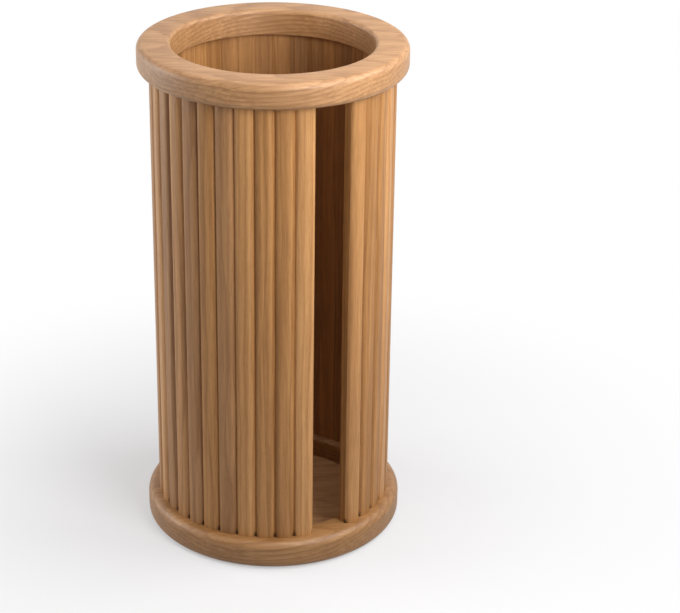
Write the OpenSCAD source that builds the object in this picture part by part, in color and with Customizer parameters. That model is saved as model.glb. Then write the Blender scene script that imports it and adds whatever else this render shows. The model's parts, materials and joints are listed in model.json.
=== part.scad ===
// Slatted wooden storage cylinder: two rings joined by upright staves, with a slot down the front.
// The origin is on the floor at the middle of the base. The slot faces -Y.

/* [Overall] */
// Height from the floor to the top of the top ring
overall_h = 312; // [220:1:420]

/* [Rings] */
// Outer diameter of the top ring and the base ring
ring_d = 160; // [130:1:220]
// How far the rings stand out past the crowns of the staves
rim_overhang = 7; // [5:0.5:14]
// How far the rings stand in past the flat backs of the staves
bore_step = 5; // [3:0.5:12]
// Thickness of the top ring
top_ring_h = 16; // [12:0.5:30]
// Thickness of the base ring
base_ring_h = 18; // [15:0.5:30]
// Rounding of the top ring's two outer edges
top_edge_r = 4; // [1:0.5:5]
// Rounding of the base ring's two outer edges
base_edge_r = 5; // [1:0.5:7]
// Rounding where each ring's top face turns into its bore
bore_edge_r = 2.5; // [0.5:0.5:4]
// Small rounding at the foot of the top ring's bore
bore_ease_r = 1; // [0.5:0.25:2]

/* [Staves] */
// Places for staves round the full circle
stave_places = 38; // [26:1:44]
// Neighbouring places left empty for the slot
slot_places = 2; // [1:1:6]
// Thickness of a stave from its crown to its flat back
stave_t = 8; // [7:0.25:12]
// How far the slight crown of a stave's front rises above its shoulders
crown_rise = 0.15; // [0.1:0.05:0.8]
// Radius of the rounded shoulders beside the crown
shoulder_r = 4.5; // [3:0.25:5]
// How far each shoulder turns before it meets the flank, in degrees
shoulder_turn = 60; // [45:1:66]

/* [Joints] */
// Radial thickness of the tongue on each end of a stave
tongue_t = 3.5; // [2.5:0.25:4]
// Height of the tongue
tongue_l = 7; // [4:0.5:8]
// Gap on each side of a tongue in its groove
groove_gap = 0.15; // [0.05:0.05:0.4]
// Room for glue past the end of a tongue
glue_room = 0.5; // [0.25:0.25:1]
// Glue line between neighbouring staves
glue_line = 0.1; // [0.05:0.05:0.3]

/* [Bottom] */
// Thickness of the bottom panel
panel_t = 4; // [3:0.5:5]
// Width of the ledge that the panel's rim is glued to
ledge_w = 5; // [3:0.5:7]
// Gap round the panel's rim
panel_gap = 0.2; // [0.1:0.05:0.5]
// Height of the panel's underside above the floor
panel_lift = 1; // [0.5:0.25:2]

/* [Hidden] */
$fn = 96;
stave_step = 360 / stave_places;
stave_count = stave_places - slot_places;
slot_half_angle = slot_places * stave_step / 2;
ring_r = ring_d / 2;
wall_r = ring_r - rim_overhang;
wall_inner_r = wall_r - stave_t;
bore_r = wall_inner_r - bore_step;
stave_bottom_z = base_ring_h;
stave_top_z = overall_h - top_ring_h;
stave_h = stave_top_z - stave_bottom_z;
tongue_mid_r = wall_r - stave_t / 2;
groove_depth = tongue_l + glue_room;
groove_t = tongue_t + 2 * groove_gap;
rabbet_r = bore_r + ledge_w;
panel_r = rabbet_r - panel_gap;
panel_top_z = panel_lift + panel_t;
// How far each cut runs on past the face that it opens
cut_past = 1;

// Each flank of a stave leans by half a step, so that neighbours meet face to face
flank_lean = stave_step / 2;
// Half the width of a stave at a distance from the middle of the holder
function half_width(r) = r * tan(flank_lean) - glue_line / 2;
// Each shoulder's arc ends on the flank, at the edge of the groove between two staves
shoulder_y = wall_r - crown_rise - shoulder_r;
edge_y = shoulder_y + shoulder_r * cos(shoulder_turn);
shoulder_x = half_width(edge_y) - shoulder_r * sin(shoulder_turn);
// The crown is the one arc that runs smoothly into both shoulders
crown_centre = shoulder_y + crown_rise / 2 - pow(shoulder_x, 2) / (2 * crown_rise);
crown_r = wall_r - crown_centre;
// How many times wider than the shoulders' centres the crown's fan is, two radii out
crown_fan = 2 * crown_r / (shoulder_y - crown_centre);

wood_light = "#c99b68";
wood_mid = "#b98855";
wood_dark = "#a47546";
wood_ring = "#c2925e";
// Tone of each stave from the first one on: L is light, M is middle and D is dark
stave_tones = "MMMLMDMLMMDMDDLMLMMLMDMLMMLDMDMDLMML";

function stave_name(i) = str("stave_", i < 9 ? "0" : "", i + 1);
// The first stave stands beside the slot's +X edge, and the rest follow round to its -X edge
function stave_angle(i) = slot_half_angle + (i + 0.5) * stave_step;
stave_names = [for (i = [0 : stave_count - 1]) stave_name(i)];
function stave_colour(tone) = tone == "L" ? wood_light : tone == "D" ? wood_dark : wood_mid;

// What a rounding takes off a corner whose sides run along +X and +Y from the origin
module corner_waste(r) {
  difference() {
    square(r);
    translate([r, r]) circle(r);
  }
}

// Section through a ring, from its bore to its rim, with its top edges and its outer foot rounded
module ring_section(h, rim_edge_r) {
  width = ring_r - bore_r;
  translate([bore_r, 0]) difference() {
    square([width, h]);
    translate([width, 0]) mirror([1, 0]) corner_waste(rim_edge_r);
    translate([width, h]) mirror([1, 0]) mirror([0, 1]) corner_waste(rim_edge_r);
    translate([0, h]) mirror([0, 1]) corner_waste(bore_edge_r);
  }
}

// Groove for the tongues, which stops at both edges of the slot
module tongue_groove() {
  rotate(slot_half_angle - 90)
    rotate_extrude(angle = stave_count * stave_step)
      translate([tongue_mid_r - groove_t / 2, 0]) square([groove_t, groove_depth + cut_past]);
}

// Front of a stave before its flanks are cut: two shoulders, with the crown between them
module stave_front() {
  translate([-half_width(ring_r), 0]) square([2 * half_width(ring_r), shoulder_y]);
  for (side = [-1, 1]) translate([side * shoulder_x, shoulder_y]) circle(shoulder_r);
  intersection() {
    translate([0, crown_centre]) circle(crown_r);
    // Only the part of the crown between its two tangent points
    polygon([
      [-shoulder_x, shoulder_y],
      [shoulder_x, shoulder_y],
      [crown_fan * shoulder_x, crown_centre + 2 * crown_r],
      [-crown_fan * shoulder_x, crown_centre + 2 * crown_r]
    ]);
  }
}

// Cross-section of a stave, with its crown towards +Y at the wall's radius
module stave_section() {
  intersection() {
    stave_front();
    // The flat back and the two leaning flanks, which run on past the crown
    polygon([
      [-half_width(wall_inner_r), wall_inner_r],
      [half_width(wall_inner_r), wall_inner_r],
      [half_width(ring_r), ring_r],
      [-half_width(ring_r), ring_r]
    ]);
  }
}

// Cross-section of the curved tongue, which is turned from the stave's own ends
module tongue_section() {
  intersection() {
    difference() {
      circle(tongue_mid_r + tongue_t / 2);
      circle(tongue_mid_r - tongue_t / 2);
    }
    stave_section();
  }
}

module stave(i) {
  color(stave_colour(stave_tones[i % len(stave_tones)]))
    rotate(stave_angle(i) + 180) {
      translate([0, 0, stave_bottom_z]) linear_extrude(stave_h) stave_section();
      for (z = [stave_bottom_z - tongue_l, stave_top_z])
        translate([0, 0, z]) linear_extrude(tongue_l) tongue_section();
    }
}

module top_ring() {
  color(wood_ring) translate([0, 0, stave_top_z]) difference() {
    rotate_extrude() difference() {
      ring_section(top_ring_h, top_edge_r);
      translate([bore_r, 0]) corner_waste(bore_ease_r);
    }
    translate([0, 0, -cut_past]) tongue_groove();
  }
}

module base_ring() {
  color(wood_ring) difference() {
    rotate_extrude() ring_section(base_ring_h, base_edge_r);
    translate([0, 0, base_ring_h - groove_depth]) tongue_groove();
    translate([0, 0, -cut_past]) cylinder(h = panel_top_z + cut_past, r = rabbet_r);
  }
}

module bottom_panel() {
  color(wood_mid) translate([0, 0, panel_lift]) cylinder(h = panel_t, r = panel_r);
}

top_ring();
base_ring();
bottom_panel();
for (i = [0 : stave_count - 1])
  stave(i);
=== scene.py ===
# %% [markdown]
# # A slatted wooden holder
#
# The holder is a coopered cylinder: staves stand side by side between two turned rings, and two
# places are left empty for a slot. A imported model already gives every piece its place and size.
# This lesson dresses that model: it makes fine meshes for the turned and the repeated pieces, gives
# them wood that is cut from a plank, and sets up a plain studio round them.

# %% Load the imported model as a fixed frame
import json
import math

import bpy
from mathutils import Matrix, Vector


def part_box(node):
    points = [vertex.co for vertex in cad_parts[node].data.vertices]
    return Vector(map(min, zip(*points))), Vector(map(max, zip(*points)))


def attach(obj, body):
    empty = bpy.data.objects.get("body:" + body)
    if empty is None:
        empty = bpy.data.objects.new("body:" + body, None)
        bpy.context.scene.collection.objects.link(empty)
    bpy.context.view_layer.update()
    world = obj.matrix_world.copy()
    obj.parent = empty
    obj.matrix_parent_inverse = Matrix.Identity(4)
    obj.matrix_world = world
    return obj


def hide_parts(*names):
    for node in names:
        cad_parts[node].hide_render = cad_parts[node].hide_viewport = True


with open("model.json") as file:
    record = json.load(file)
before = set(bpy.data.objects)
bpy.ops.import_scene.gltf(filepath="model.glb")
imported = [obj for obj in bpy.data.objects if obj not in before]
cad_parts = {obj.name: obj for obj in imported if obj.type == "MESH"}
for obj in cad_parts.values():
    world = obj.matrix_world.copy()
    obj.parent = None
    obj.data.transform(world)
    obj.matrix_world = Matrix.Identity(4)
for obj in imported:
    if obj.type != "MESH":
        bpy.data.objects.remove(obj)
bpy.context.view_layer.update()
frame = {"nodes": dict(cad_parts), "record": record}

MM = 0.001
scene = bpy.context.scene

# %% [markdown]
# ## Sizes from the frame
#
# Heights and the outer diameter come from the boxes of the nodes. The box of a ring can't tell how
# wide its bore is, so the radii are read from the vertices: the nearest and the farthest one.

# %% Read the sizes
def radii(node):
    """The nearest and the farthest distance of a node's vertices from the middle of the holder."""
    found = [math.hypot(v.co.x, v.co.y) for v in frame["nodes"][node].data.vertices]
    return min(found), max(found)


STAVES = sorted(name for name in frame["nodes"] if name.startswith("stave_"))
base_low, base_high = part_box("base_ring")
top_low, top_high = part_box("top_ring")
panel_low, panel_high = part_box("bottom_panel")
BORE_R, RIM_R = radii("top_ring")
PANEL_R = radii("bottom_panel")[1]
WALL_R = radii(STAVES[0])[1]
STAVE_FOOT_Z = base_high.z
STAVE_TOP_Z = top_low.z
STAVE_T = 8 * MM
STAVE_PLACES = 38  # round the full circle
STAVE_STEP = math.tau / STAVE_PLACES
SLOT_PLACES = STAVE_PLACES - len(STAVES)
print("bore, rim and wall radius in mm:", [round(r / MM, 2) for r in (BORE_R, RIM_R, WALL_R)])

# %% [markdown]
# ## The camera
#
# The picture is taken from above and a little to the left of the slot, with a long lens, so the
# cylinder hardly narrows towards its foot. The camera is placed on a circle round the holder, then
# it is turned: first sideways, then down, then a trifle about its own axis.

# %% Place the camera
CAMERA_SIDE = math.radians(-29.0)  # round the holder from the slot, towards -X
CAMERA_DISTANCE = 1144.5 * MM
CAMERA_HEIGHT = 676.2 * MM
CAMERA_TURN = math.radians(2.061)
CAMERA_TILT = math.radians(25.072)
CAMERA_ROLL = math.radians(0.823)

camera = bpy.data.objects.new("camera", bpy.data.cameras.new("camera"))
camera.data.sensor_width = 36.0
camera.data.lens = 108.05
camera.data.clip_start = 0.05
camera.data.clip_end = 60.0
scene.collection.objects.link(camera)
scene.camera = camera

stand = Matrix.Rotation(CAMERA_SIDE, 4, "Z") @ Matrix.Translation(
    (0, -CAMERA_DISTANCE, CAMERA_HEIGHT))
aim = Matrix.Rotation(-CAMERA_TURN, 4, "Z") @ Matrix.Rotation(math.pi / 2 - CAMERA_TILT, 4, "X")
camera.matrix_world = stand @ aim @ Matrix.Rotation(CAMERA_ROLL, 4, "Z")
print("camera at", [round(v, 3) for v in camera.matrix_world.translation])

# %% [markdown]
# ## Small helpers for node trees
#
# Materials and Geometry Nodes are both built from nodes and links. A few short functions keep the
# building readable: the first adds a node and sets it up, and the others are the handful of nodes
# that come back again and again.

# %% Helpers for nodes
def add(tree, kind, values=None, **settings):
    """Adds a node. `settings` are its options, and `values` fills its sockets by name or number."""
    node = tree.nodes.new(kind)
    for name, value in settings.items():
        setattr(node, name, value)
    for key, value in (values or {}).items():
        socket = node.inputs[key]
        if isinstance(value, bpy.types.NodeSocket):
            tree.links.new(value, socket)
        else:
            socket.default_value = value
    return node


def maths(tree, operation, *values):
    """A Math node's result. Each value is a number or another node's output."""
    return add(tree, "ShaderNodeMath", dict(enumerate(values)), operation=operation).outputs[0]


def vectors(tree, operation, *values):
    """A Vector Math node's outputs. Each value is a vector or another node's output."""
    return add(tree, "ShaderNodeVectorMath", dict(enumerate(values)), operation=operation).outputs


def from_axis(tree, place):
    """How far a place is from the Z axis."""
    flat = vectors(tree, "MULTIPLY", place, (1, 1, 0))["Vector"]
    return vectors(tree, "LENGTH", flat)["Value"]


def graded(tree, value, start, end, low=0.0, high=1.0, shape="LINEAR"):
    """A number that goes from `low` to `high` while `value` goes from `start` to `end`."""
    return add(tree, "ShaderNodeMapRange", {
        "Value": value, "From Min": start, "From Max": end, "To Min": low, "To Max": high},
        interpolation_type=shape).outputs["Result"]


def blend(tree, factor, first, second):
    """A colour between two others: the first where the factor is 0, the second where it is 1."""
    # A Mix node has its two colours in sockets 6 and 7, and the mixed one in its output 2
    return add(tree, "ShaderNodeMix", {"Factor": factor, 6: first, 7: second},
               data_type="RGBA").outputs[2]

# %% [markdown]
# ## Small helpers for meshes
#
# Both kinds of mesh in this lesson start as a flat outline with rounded corners, which a geometry
# tree sweeps along a path. Each tree has named inputs, so that one tree can make several pieces. It
# is run once, on a small layout mesh, and its result is kept as a plain mesh.

# %% Helpers for outlines and geometry trees
ROUNDING_STEPS = 8  # points on each rounded corner
CREASE_ANGLE = math.radians(40)
WELD = 0.01 * MM  # vertices nearer than this are merged


def geometry_tree(name, **inputs):
    """An empty geometry tree, with a geometry input and one named input for each size."""
    tree = bpy.data.node_groups.new(name, "GeometryNodeTree")
    tree.interface.new_socket("Geometry", in_out="INPUT", socket_type="NodeSocketGeometry")
    tree.interface.new_socket("Geometry", in_out="OUTPUT", socket_type="NodeSocketGeometry")
    for label, kind in inputs.items():
        tree.interface.new_socket(label, in_out="INPUT", socket_type="NodeSocket" + kind)
    return tree, add(tree, "NodeGroupInput").outputs, add(tree, "NodeGroupOutput").inputs


def outline_mesh(name, corners, closed=True):
    """A flat outline. Each corner is its X, its Y and its rounding, which a tree reads later."""
    count = len(corners)
    mesh = bpy.data.meshes.new(name + "_outline")
    sides = count if closed else count - 1
    mesh.from_pydata([(x, y, 0) for x, y, _ in corners],
                     [(i, (i + 1) % count) for i in range(sides)], [])
    rounding = mesh.attributes.new("rounding", "FLOAT", "POINT")
    rounding.data.foreach_set("value", [radius for _, _, radius in corners])
    return mesh


def round_corners(tree, outline):
    """Nodes that turn an outline mesh into a curve and give each corner its own rounding."""
    rounding = add(tree, "GeometryNodeInputNamedAttribute", {"Name": "rounding"}, data_type="FLOAT")
    curve = add(tree, "GeometryNodeMeshToCurve", {"Mesh": outline})
    return add(tree, "GeometryNodeFilletCurve", {
        "Curve": curve.outputs[0], "Count": ROUNDING_STEPS, "Radius": rounding.outputs[0],
        "Limit Radius": True}, mode="POLY").outputs[0]


def weld(tree, mesh):
    """A node that closes the seams of a swept mesh."""
    return add(tree, "GeometryNodeMergeByDistance", {
        "Geometry": mesh, "Distance": WELD}).outputs[0]


def shade_with_creases(tree, mesh):
    """Nodes that shade a mesh smooth, but keep its edges beyond the crease angle sharp."""
    angle = add(tree, "GeometryNodeInputMeshEdgeAngle").outputs["Unsigned Angle"]
    crease = add(tree, "FunctionNodeCompare", {"A": angle, "B": CREASE_ANGLE},
                 operation="GREATER_THAN", data_type="FLOAT").outputs[0]
    smooth = add(tree, "GeometryNodeSetShadeSmooth", {"Geometry": mesh}, domain="FACE").outputs[0]
    return add(tree, "GeometryNodeSetShadeSmooth", {
        "Geometry": smooth, "Selection": crease, "Shade Smooth": False}, domain="EDGE").outputs[0]


def end_tree(tree, geometry, material, result):
    """The last two nodes of every tree: real geometry instead of instances, and its material."""
    solid = add(tree, "GeometryNodeRealizeInstances", {"Geometry": geometry}).outputs[0]
    finished = add(tree, "GeometryNodeSetMaterial", {"Geometry": solid, "Material": material})
    tree.links.new(finished.outputs[0], result["Geometry"])
    return tree


def grow(name, layout, tree, values):
    """Runs a geometry tree on a layout mesh and returns the result as a plain mesh object."""
    seed = bpy.data.objects.new(name + "_seed", layout)
    scene.collection.objects.link(seed)
    modifier = seed.modifiers.new("grow", "NODES")
    modifier.node_group = tree
    for socket in tree.interface.items_tree:
        if socket.in_out == "INPUT" and socket.name in values:
            modifier[socket.identifier] = values[socket.name]
    depsgraph = bpy.context.evaluated_depsgraph_get()
    mesh = bpy.data.meshes.new_from_object(seed.evaluated_get(depsgraph), depsgraph=depsgraph)
    mesh.name = name
    bpy.data.objects.remove(seed)
    piece = bpy.data.objects.new(name, mesh)
    scene.collection.objects.link(piece)
    print(name, "has", len(mesh.polygons), "faces")
    return piece

# %% [markdown]
# ## Wood that is cut from a plank
#
# A tree grows in rings round its pith, and a plank shows those rings where the saw cuts them. So
# the material doesn't paint a picture on a surface: it works out, for every point in space, how far
# that point is from a pith, and colours the growth ring it lies in. The same plank then shows long
# lines on its faces and arcs on its ends, and a ring turned from it gets the right figure all
# round. Four finer layers lie over the growth rings: slow drifts of tone, long streaks, fibres that
# run along the grain, and short dark pores.

# %% Numbers of the wood
# Each layer of noise: the width and the length of its cells in metres, its detail and roughness
LAYERS = {
    "wander": (0.03, 0.2, 2.0, 0.5),
    "waver": (0.005, 0.06, 1.0, 0.5),
    "drift": (0.012, 0.16, 3.0, 0.5),
    "streak": (0.0022, 0.12, 2.0, 0.5),
    "fibre": (0.0011, 0.02, 3.0, 0.65),
    "pores": (0.00032, 0.005, 1.0, 0.5),
}
WANDER = 11 * MM  # how far a growth ring strays from a true circle
WAVER = 1.2 * MM  # the same on a small scale
# One growth ring from its start to its end: where, and how dark
SEASONS = ((0.0, 0.25), (0.12, 0.05), (0.55, 0.3), (0.86, 0.75), (0.95, 1.0), (1.0, 0.3))
STREAK_CONTRAST = 0.34
DRIFT_CONTRAST = 0.3
PORE_CONTRAST = 0.28
PORE_COLOUR = (0.16, 0.075, 0.03, 1)
RICHNESS = 0.3  # how much richer a darker plank looks
print("layers over the growth rings:", ", ".join(LAYERS))

# %% The wood group
def wood_group():
    """A node group: colour, height and roughness of wood whose grain runs along local Z."""
    tree = bpy.data.node_groups.new("plank_wood", "ShaderNodeTree")
    for label, kind in (("Place", "Vector"), ("Pith", "Vector"), ("Early wood", "Color"),
                        ("Late wood", "Color"), ("Ring width", "Float"), ("Tone", "Float"),
                        ("Ring contrast", "Float"), ("Fibre contrast", "Float")):
        tree.interface.new_socket(label, in_out="INPUT", socket_type="NodeSocket" + kind)
    for label, kind in (("Color", "Color"), ("Height", "Float"), ("Roughness", "Float")):
        tree.interface.new_socket(label, in_out="OUTPUT", socket_type="NodeSocket" + kind)
    given = add(tree, "NodeGroupInput").outputs
    result = add(tree, "NodeGroupOutput").inputs

    def noise(layer):
        """One layer of noise, with its cells stretched along the grain."""
        across, along, detail, roughness = LAYERS[layer]
        cells = vectors(tree, "MULTIPLY", given["Place"], (1 / across, 1 / across, 1 / along))
        return add(tree, "ShaderNodeTexNoise", {
            "Vector": cells["Vector"], "Scale": 1.0, "Detail": detail,
            "Roughness": roughness}).outputs["Fac"]

    # How far the point is from the pith, with the wander that every trunk has
    off_pith = vectors(tree, "SUBTRACT", given["Place"], given["Pith"])["Vector"]
    wander = maths(tree, "MULTIPLY", noise("wander"), WANDER)
    waver = maths(tree, "MULTIPLY", noise("waver"), WAVER)
    distance = maths(tree, "ADD", maths(tree, "ADD", from_axis(tree, off_pith), wander), waver)

    # Early wood turns slowly into late wood, which ends in a fine dark line
    season = maths(tree, "FRACT", maths(tree, "DIVIDE", distance, given["Ring width"]))
    late = add(tree, "ShaderNodeValToRGB", {"Fac": season})
    stops = late.color_ramp.elements
    (_, first), *middle, (_, last) = SEASONS
    stops[0].color = (first, first, first, 1)
    stops[1].color = (last, last, last, 1)
    for position, grey in middle:
        stops.new(position).color = (grey, grey, grey, 1)

    # A noise keeps near its middle, so it is stretched to run from 0 to 1
    drift = graded(tree, noise("drift"), 0.3, 0.7)
    fibre = graded(tree, noise("fibre"), 0.3, 0.7)
    streak = graded(tree, noise("streak"), 0.34, 0.66)
    # Only the lowest dips of this one become pores
    pores = graded(tree, noise("pores"), 0.36, 0.28)

    ring_part = maths(tree, "MULTIPLY", late.outputs["Color"], given["Ring contrast"])
    fibre_part = maths(tree, "MULTIPLY", fibre, given["Fibre contrast"])
    streak_part = maths(tree, "MULTIPLY", streak, STREAK_CONTRAST)
    drift_part = maths(tree, "MULTIPLY", drift, DRIFT_CONTRAST)
    depth = maths(tree, "ADD", maths(tree, "ADD", ring_part, fibre_part),
                  maths(tree, "ADD", streak_part, drift_part))
    colour = blend(tree, depth, given["Early wood"], given["Late wood"])
    pored = blend(tree, maths(tree, "MULTIPLY", pores, PORE_CONTRAST), colour, PORE_COLOUR)
    richness = maths(tree, "SUBTRACT", 1.0 + RICHNESS,
                     maths(tree, "MULTIPLY", given["Tone"], RICHNESS))
    toned = add(tree, "ShaderNodeHueSaturation", {
        "Color": pored, "Saturation": richness, "Value": given["Tone"]})
    tree.links.new(toned.outputs["Color"], result["Color"])

    # Fibres and pores are hollows, and both are duller than the wood between them
    dents = maths(tree, "ADD", maths(tree, "MULTIPLY", fibre, -0.5),
                  maths(tree, "MULTIPLY", pores, -1.0))
    tree.links.new(dents, result["Height"])
    rough = maths(tree, "ADD", maths(tree, "MULTIPLY", fibre, 0.1), 0.44)
    rough = maths(tree, "ADD", rough, maths(tree, "MULTIPLY", pores, 0.15))
    tree.links.new(rough, result["Roughness"])
    return tree


PLANK_WOOD = wood_group()
print("the wood group has", len(PLANK_WOOD.nodes), "nodes")

# %% [markdown]
# ## One finish for each plank
#
# Every piece uses the group above with its own numbers. A Mapping node turns the plank, so that its
# length lies where the maker laid it. The staves stand upright in their planks, and each one adds
# its own shift, so that no two neighbours look alike. Where the groove between two staves meets
# the base ring, the staves are painted darker: painted shade for the shadow in the pits there. The
# rings, which hands touch most, also have a thin coat with a satin shine.

# %% Painted shade at the foot of the grooves
# The colour of the painted shade in the pits at the feet of the grooves
FOOT_SHADE_COLOUR = (0.03, 0.013, 0.006, 1)


def foot_shade_mask(tree, place):
    """The mask of the painted shade: the grooves between the staves, just above the base ring."""
    radius = from_axis(tree, place)
    height = add(tree, "ShaderNodeSeparateXYZ", {0: place}).outputs["Z"]
    deep = graded(tree, radius, WALL_R - 0.5 * MM, WALL_R - 1.8 * MM, shape="SMOOTHSTEP")
    low = graded(tree, height, STAVE_FOOT_Z + 4.5 * MM, STAVE_FOOT_Z + 1 * MM, shape="SMOOTHSTEP")
    outside = maths(tree, "GREATER_THAN", radius, WALL_R - 3.5 * MM)
    return maths(tree, "MULTIPLY", maths(tree, "MULTIPLY", deep, low), outside)

# %% A finish
def wood(slot, early, late, plank_turn=(0, 0, 0), pith=(0.03, 0.05, 0), ring_width=0.004,
         ring_contrast=0.45, fibre_contrast=0.3, polish=0.0, corners=0.0):
    """An oiled wood. `early` and `late` are its two colours, and `plank_turn` turns the plank.

    `pith` is where the pith lies from the plank's own Z axis, and `ring_width` is the width of a
    growth ring, in metres. `polish` is the weight of the coat, and `corners` is how strong the
    painted shade at the feet of the grooves is.
    """
    material = bpy.data.materials.new("oiled_" + slot)
    material.use_nodes = True
    tree = material.node_tree
    shader = tree.nodes["Principled BSDF"]
    place = add(tree, "ShaderNodeTexCoord").outputs["Object"]
    turned = add(tree, "ShaderNodeMapping", {"Vector": place, "Rotation": plank_turn},
                 vector_type="TEXTURE").outputs[0]
    shift = add(tree, "ShaderNodeAttribute", attribute_name="plank_shift").outputs["Vector"]
    tone = add(tree, "ShaderNodeAttribute", attribute_name="plank_tone").outputs["Fac"]
    grain = add(tree, "ShaderNodeGroup", {
        "Place": vectors(tree, "ADD", turned, shift)["Vector"], "Pith": pith,
        "Early wood": (*early, 1), "Late wood": (*late, 1), "Ring width": ring_width,
        "Tone": maths(tree, "ADD", tone, 1.0), "Ring contrast": ring_contrast,
        "Fibre contrast": fibre_contrast}, node_tree=PLANK_WOOD).outputs
    bump = add(tree, "ShaderNodeBump", {
        "Strength": 0.35, "Distance": 0.2 * MM, "Height": grain["Height"]})
    # Painted shade: the staves are darker where their grooves meet the base ring, as the pits there
    # lie in shadow
    foot_shade = maths(tree, "MULTIPLY", foot_shade_mask(tree, place), corners)
    tree.links.new(blend(tree, foot_shade, grain["Color"], FOOT_SHADE_COLOUR), shader.inputs["Base Color"])
    tree.links.new(grain["Roughness"], shader.inputs["Roughness"])
    tree.links.new(bump.outputs["Normal"], shader.inputs["Normal"])
    shader.inputs["IOR"].default_value = 1.45
    shader.inputs["Coat Weight"].default_value = polish
    shader.inputs["Coat Roughness"].default_value = 0.5
    return material

# %% Make the five finishes
# The planks of the rings lie across the picture. Their grain climbs a little to the right, and
# their growth rings are nearly level, because the pith lies far below them.
PLANK_DIRECTION = CAMERA_SIDE + math.radians(2)
PLANK_CLIMB = math.radians(4)
ACROSS = (math.pi / 2 - PLANK_CLIMB, 0, PLANK_DIRECTION + math.pi / 2)
# The staves also take painted shade at the feet of their grooves, through corners
STAVE_GRAIN_AND_SHADE = {"ring_contrast": 0.5, "fibre_contrast": 0.4, "corners": 0.9}
FINISHES = {
    "ring_wood": wood("ring_wood", (0.55, 0.30, 0.132), (0.31, 0.147, 0.052), ACROSS,
                      pith=(0.18, -1.2, 0), ring_width=0.0027, ring_contrast=0.6,
                      fibre_contrast=0.4, polish=0.35),
    "panel_wood": wood("panel_wood", (0.55, 0.31, 0.15), (0.36, 0.18, 0.075), ACROSS,
                       pith=(0.0, -0.12, 0)),
    "stave_wood_light": wood("stave_wood_light", (0.63, 0.335, 0.127), (0.38, 0.173, 0.053),
                             **STAVE_GRAIN_AND_SHADE),
    "stave_wood_mid": wood("stave_wood_mid", (0.57, 0.286, 0.10), (0.31, 0.138, 0.041),
                           **STAVE_GRAIN_AND_SHADE),
    "stave_wood_dark": wood("stave_wood_dark", (0.48, 0.245, 0.096), (0.265, 0.122, 0.042),
                            **STAVE_GRAIN_AND_SHADE),
}
print("finishes:", ", ".join(FINISHES))

# %% [markdown]
# ## The turned pieces
#
# A lathe leaves the same section all the way round, so a ring is one outline swept round a circle.
# The outline is a handful of corners, each with its own rounding, kept as an attribute on the
# layout mesh. The tree rounds the corners, sweeps the outline and closes what meets in the middle.
# It also leaves the tone of the piece's plank on the mesh, where the material reads it.

# %% The lathe tree
TURN_STEPS = 256  # flat steps round a full circle


def lathe_tree():
    """A tree that sweeps an outline round the axis of the holder."""
    tree, given, result = geometry_tree("lathe", **{
        "Steps": "Int", "Axis distance": "Float", "Tone": "Float", "Material": "Material"})
    circle = add(tree, "GeometryNodeCurvePrimitiveCircle", {
        "Resolution": given["Steps"], "Radius": given["Axis distance"]})
    swept = add(tree, "GeometryNodeCurveToMesh", {
        "Curve": circle.outputs[0], "Profile Curve": round_corners(tree, given["Geometry"])})
    # The sweep leaves its faces pointing inwards
    outward = add(tree, "GeometryNodeFlipFaces", {"Mesh": weld(tree, swept.outputs[0])})
    toned = add(tree, "GeometryNodeStoreNamedAttribute", {
        "Geometry": shade_with_creases(tree, outward.outputs[0]), "Name": "plank_tone",
        "Value": given["Tone"]}, data_type="FLOAT", domain="POINT")
    return end_tree(tree, toned.outputs[0], given["Material"], result)


LATHE = lathe_tree()


def turn(name, corners, slot, tone=0.0):
    """Turns a piece. Each corner is its distance from the axis, its height and its rounding."""
    # Swept round the circle, the outline's X axis points outwards and its Y axis points down
    points = [(radius - WALL_R, -height, rounding) for radius, height, rounding in corners]
    # An outline that starts and ends on the axis stays open there, and its two ends become poles
    layout = outline_mesh(name, points, closed=corners[0][0] > 0)
    return grow(name, layout, LATHE, {
        "Steps": TURN_STEPS, "Axis distance": WALL_R, "Tone": tone, "Material": FINISHES[slot]})

# %% Turn the rings and the panel
RIM_EDGE = 4 * MM
FOOT_EDGE = 5 * MM
MOUTH_EDGE = 2.5 * MM
EASED = 1 * MM
CRISP = 0.3 * MM
LEDGE_R = PANEL_R + 0.2 * MM

top_ring = turn("turned_top_ring", [
    (BORE_R, top_low.z, EASED), (RIM_R, top_low.z, RIM_EDGE),
    (RIM_R, top_high.z, RIM_EDGE), (BORE_R, top_high.z, MOUTH_EDGE)], "ring_wood")
# The base ring is given a darker tone: painted shade, as it lies in the shade of the top ring
base_ring = turn("turned_base_ring", [
    (LEDGE_R, base_low.z, CRISP), (RIM_R, base_low.z, FOOT_EDGE),
    (RIM_R, base_high.z, FOOT_EDGE), (BORE_R, base_high.z, MOUTH_EDGE),
    (BORE_R, panel_high.z, CRISP), (LEDGE_R, panel_high.z, 0)], "ring_wood", tone=-0.2)
panel = turn("turned_bottom_panel", [
    (0, panel_low.z, 0), (PANEL_R, panel_low.z, CRISP),
    (PANEL_R, panel_high.z, CRISP), (0, panel_high.z, 0)], "panel_wood")

# %% [markdown]
# ## The wall of staves
#
# All staves have one section, and only their place round the wall differs. So the tree draws the
# section once, makes it a stave, and puts a copy on every point of a small layout mesh. Each point
# knows its stave's number, and the tree turns the copy to its place by that number. A random value
# with a fixed seed then picks the part of the plank that each stave is cut from.

# %% Section of a stave
SHOULDER_R = 4.5 * MM
SHOULDER_TURN = math.radians(60)  # how far each shoulder turns before it meets the flank
CROWN_RISE = 0.15 * MM


def half_width(radius):
    """Half the width of a stave at a distance from the middle of the holder."""
    return radius * math.tan(STAVE_STEP / 2)


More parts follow.
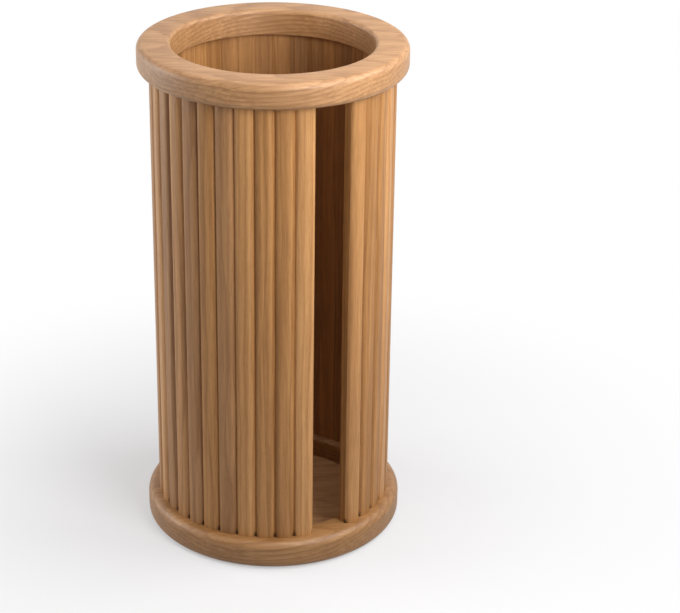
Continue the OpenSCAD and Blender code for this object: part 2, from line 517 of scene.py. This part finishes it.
def stave_section():
    """The corners of a stave, with the middle of the holder as origin and the front towards +Y."""
    edge_r = WALL_R - SHOULDER_R * (1 - math.cos(SHOULDER_TURN))
    edge_x = half_width(edge_r)
    # The two tangents of a shoulder meet at this corner
    reach = SHOULDER_R * math.tan(SHOULDER_TURN / 2)
    corner_x = edge_x - reach * math.cos(SHOULDER_TURN)
    back_r = WALL_R - STAVE_T
    right = [(half_width(back_r), back_r, CRISP), (edge_x, edge_r, CRISP),
             (corner_x, WALL_R, SHOULDER_R)]
    return right + [(-x, y, rounding) for x, y, rounding in reversed(right)]


print("a stave is", round(2 * half_width(WALL_R) / MM, 2), "mm wide at the wall")

# %% The stave tree
PLANK_SHIFT = (0.4, 0.4, 3.0)  # how far from its plank's middle a stave may be cut, in metres
TONE_SPREAD = 0.08
SEED = 7


def crowned(tree, section, given):
    """Nodes that give the front of a section a slight crown, which falls with the square of X."""
    even = add(tree, "GeometryNodeSubdivideCurve", {"Curve": section, "Cuts": 1}).outputs[0]
    place = add(tree, "ShaderNodeSeparateXYZ", {
        0: add(tree, "GeometryNodeInputPosition").outputs[0]}).outputs
    across = maths(tree, "DIVIDE", place["X"], maths(tree, "MULTIPLY", given["Width"], 0.5))
    fall = maths(tree, "MULTIPLY", maths(tree, "MULTIPLY", across, across), given["Crown"])
    drop = add(tree, "ShaderNodeCombineXYZ", {"Y": maths(tree, "MULTIPLY", fall, -1.0)}).outputs[0]
    in_front = add(tree, "FunctionNodeCompare", {
        "A": place["Y"], "B": maths(tree, "SUBTRACT", given["Wall radius"], given["Shoulder"])},
        operation="GREATER_THAN", data_type="FLOAT").outputs[0]
    return add(tree, "GeometryNodeSetPosition", {
        "Geometry": even, "Selection": in_front, "Offset": drop}).outputs[0]


def stave_tree():
    """A tree that makes one stave and stands a copy of it in each numbered place of the wall."""
    tree, given, result = geometry_tree("staves", **{
        "Section": "Object", "Step": "Float", "First": "Float", "Wall radius": "Float",
        "Shoulder": "Float", "Crown": "Float", "Width": "Float", "Foot": "Float", "Top": "Float",
        "Seed": "Int", "Material": "Material"})
    section = add(tree, "GeometryNodeObjectInfo", {"Object": given["Section"]}).outputs["Geometry"]
    path = add(tree, "GeometryNodeCurvePrimitiveLine", {
        "Start": add(tree, "ShaderNodeCombineXYZ", {"Z": given["Foot"]}).outputs[0],
        "End": add(tree, "ShaderNodeCombineXYZ", {"Z": given["Top"]}).outputs[0]}).outputs[0]
    swept = add(tree, "GeometryNodeCurveToMesh", {
        "Curve": path, "Profile Curve": crowned(tree, round_corners(tree, section), given),
        "Fill Caps": True}).outputs[0]
    stave = shade_with_creases(tree, weld(tree, swept))

    number = add(tree, "GeometryNodeInputNamedAttribute", {"Name": "number"},
                 data_type="INT").outputs[0]
    turned = maths(tree, "ADD", maths(tree, "MULTIPLY", number, given["Step"]), given["First"])
    rotation = add(tree, "FunctionNodeAxisAngleToRotation", {"Axis": (0, 0, 1), "Angle": turned})
    wall = add(tree, "GeometryNodeInstanceOnPoints", {
        "Points": given["Geometry"], "Instance": stave, "Rotation": rotation.outputs[0]})
    # A Random Value node takes the range of a vector in sockets 0 and 1, of a number in 2 and 3
    shift = add(tree, "FunctionNodeRandomValue", {
        0: tuple(-v for v in PLANK_SHIFT), 1: PLANK_SHIFT, "ID": number, "Seed": given["Seed"]},
        data_type="FLOAT_VECTOR").outputs[0]
    shifted = add(tree, "GeometryNodeStoreNamedAttribute", {
        "Geometry": wall.outputs[0], "Name": "plank_shift", "Value": shift},
        data_type="FLOAT_VECTOR", domain="INSTANCE")
    tone = add(tree, "FunctionNodeRandomValue", {
        2: -TONE_SPREAD, 3: TONE_SPREAD, "ID": number, "Seed": given["Seed"]},
        data_type="FLOAT").outputs[1]
    toned = add(tree, "GeometryNodeStoreNamedAttribute", {
        "Geometry": shifted.outputs[0], "Name": "plank_tone", "Value": tone},
        data_type="FLOAT", domain="INSTANCE")
    return end_tree(tree, toned.outputs[0], given["Material"], result)


STAVE_TREE = stave_tree()

# %% Stand the staves in the wall
FIRST_ANGLE = math.pi + (SLOT_PLACES - 1) * STAVE_STEP / 2
SLOT_OF = {row["node"]: row["material_slot"] for row in frame["record"]["subparts"]}
section = bpy.data.objects.new("stave_section", outline_mesh("stave_section", stave_section()))
scene.collection.objects.link(section)


def stand_staves(slot):
    """Makes all staves of one wood as one piece, which stands for their CAD nodes."""
    names = [name for name in STAVES if SLOT_OF[name] == slot]
    layout = bpy.data.meshes.new(slot + "_places")
    layout.from_pydata([(0, 0, 0)] * len(names), [], [])
    numbers = layout.attributes.new("number", "INT", "POINT")
    numbers.data.foreach_set("value", [int(name.split("_")[1]) for name in names])
    piece = grow(slot.replace("stave_wood", "staves"), layout, STAVE_TREE, {
        "Section": section, "Step": STAVE_STEP, "First": FIRST_ANGLE, "Wall radius": WALL_R,
        "Shoulder": SHOULDER_R, "Crown": CROWN_RISE, "Width": 2 * half_width(WALL_R),
        "Foot": STAVE_FOOT_Z, "Top": STAVE_TOP_Z, "Seed": SEED, "Material": FINISHES[slot]})
    return piece, names


pieces = [(top_ring, ["top_ring"], "ring_wood"), (base_ring, ["base_ring"], "ring_wood"),
          (panel, ["bottom_panel"], "panel_wood")]
for slot in sorted(set(SLOT_OF[name] for name in STAVES)):
    piece, names = stand_staves(slot)
    pieces.append((piece, names, slot))
bpy.data.objects.remove(section)

# %% [markdown]
# ## The studio
#
# The photograph is high-key: a white sheet runs under and behind the holder. A soft lamp stands
# beside it on the right, and a smaller one hangs nearer the camera. A sheet on the left brightens
# that side, a broad lamp overhead lights the top ring, and the white room fills the rest. The floor
# is a real surface that takes shadows. Farther out it fades to plain white, as an overexposed
# sheet does.

# %% Floor
WHITE = (1, 1, 1, 1)
FLOOR_REACH = 12.0
# The camera sees a brighter sheet than the one that throws light back at the holder
SHEET_SEEN = (0.70, 0.695, 0.715, 1)
SHEET_UNSEEN = (0.50, 0.50, 0.51, 1)


def seen_white(tree):
    """Nodes that give 1 to what the camera or a reflection sees, and 0 to the light it throws."""
    rays = add(tree, "ShaderNodeLightPath").outputs
    return maths(tree, "MAXIMUM", rays["Is Camera Ray"], rays["Is Glossy Ray"])


def floor_material():
    """A matt sheet that takes shadows near the holder and is plain white farther out."""
    material = bpy.data.materials.new("floor")
    material.use_nodes = True
    tree = material.node_tree
    sheet = tree.nodes["Principled BSDF"]
    sheet.inputs["Roughness"].default_value = 0.9
    sheet.inputs["Specular IOR Level"].default_value = 0.2
    camera_ray = add(tree, "ShaderNodeLightPath").outputs["Is Camera Ray"]
    tree.links.new(blend(tree, camera_ray, SHEET_UNSEEN, SHEET_SEEN), sheet.inputs["Base Color"])
    place = add(tree, "ShaderNodeTexCoord").outputs["Object"]
    distance = vectors(tree, "LENGTH", place)["Value"]
    white_part = graded(tree, distance, 80 * MM, 360 * MM, low=0.4, shape="SMOOTHSTEP")
    white = add(tree, "ShaderNodeEmission", {"Color": WHITE, "Strength": 1.0})
    faded = add(tree, "ShaderNodeMixShader", {
        0: maths(tree, "MULTIPLY", white_part, seen_white(tree)),
        1: sheet.outputs[0], 2: white.outputs[0]})
    tree.links.new(faded.outputs[0], tree.nodes["Material Output"].inputs["Surface"])
    return material


floor_mesh = bpy.data.meshes.new("floor")
floor_mesh.from_pydata([(x * FLOOR_REACH, y * FLOOR_REACH, 0)
                        for x, y in ((-1, -1), (1, -1), (1, 1), (-1, 1))], [], [(0, 1, 2, 3)])
floor_mesh.materials.append(floor_material())
floor = bpy.data.objects.new("floor", floor_mesh)
scene.collection.objects.link(floor)
print("the floor reaches", FLOOR_REACH, "m each way")

# %% World
ROOM_LIGHT = 0.12  # what the room throws on the holder, where 1 is white

world = bpy.data.worlds.new("white_room")
world.use_nodes = True
tree = world.node_tree
background = tree.nodes["Background"].inputs
background["Color"].default_value = WHITE
tree.links.new(graded(tree, seen_white(tree), 0.0, 1.0, low=ROOM_LIGHT), background["Strength"])
scene.world = world
print("the room's light is", ROOM_LIGHT)

# %% Lamps
def lamp(name, side, distance, height, size, power, aim_z=0.16):
    """A square soft lamp. `side` is its angle round the holder from the camera, to the right."""
    data = bpy.data.lights.new(name, "AREA")
    data.size = size
    data.energy = power
    light = bpy.data.objects.new(name, data)
    angle = CAMERA_SIDE + math.radians(side)
    light.location = (distance * math.sin(angle), -distance * math.cos(angle), height)
    toward = Vector((0, 0, aim_z)) - light.location
    light.rotation_euler = toward.to_track_quat("-Z", "Y").to_euler()
    scene.collection.objects.link(light)
    print(name, "lamp of", power, "W at", [round(v, 3) for v in light.location])


lamp("key", side=85, distance=0.45, height=0.62, size=0.35, power=2.7)
lamp("front", side=34, distance=0.44, height=0.47, size=0.25, power=2.2, aim_z=0.29)
lamp("left_sheet", side=-100, distance=0.7, height=0.36, size=0.5, power=3.3)
lamp("overhead", side=0, distance=0.02, height=1.1, size=0.5, power=3.2)

scene.view_settings.view_transform = "Standard"

# %% [markdown]
# ## Hand the pieces over
#
# Every piece rides on the one body of the holder, and the CAD nodes that it stands for are hidden.

# %% Ride, and hide the replaced nodes
for piece, names, slot in pieces:
    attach(piece, "root")
    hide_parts(*names)
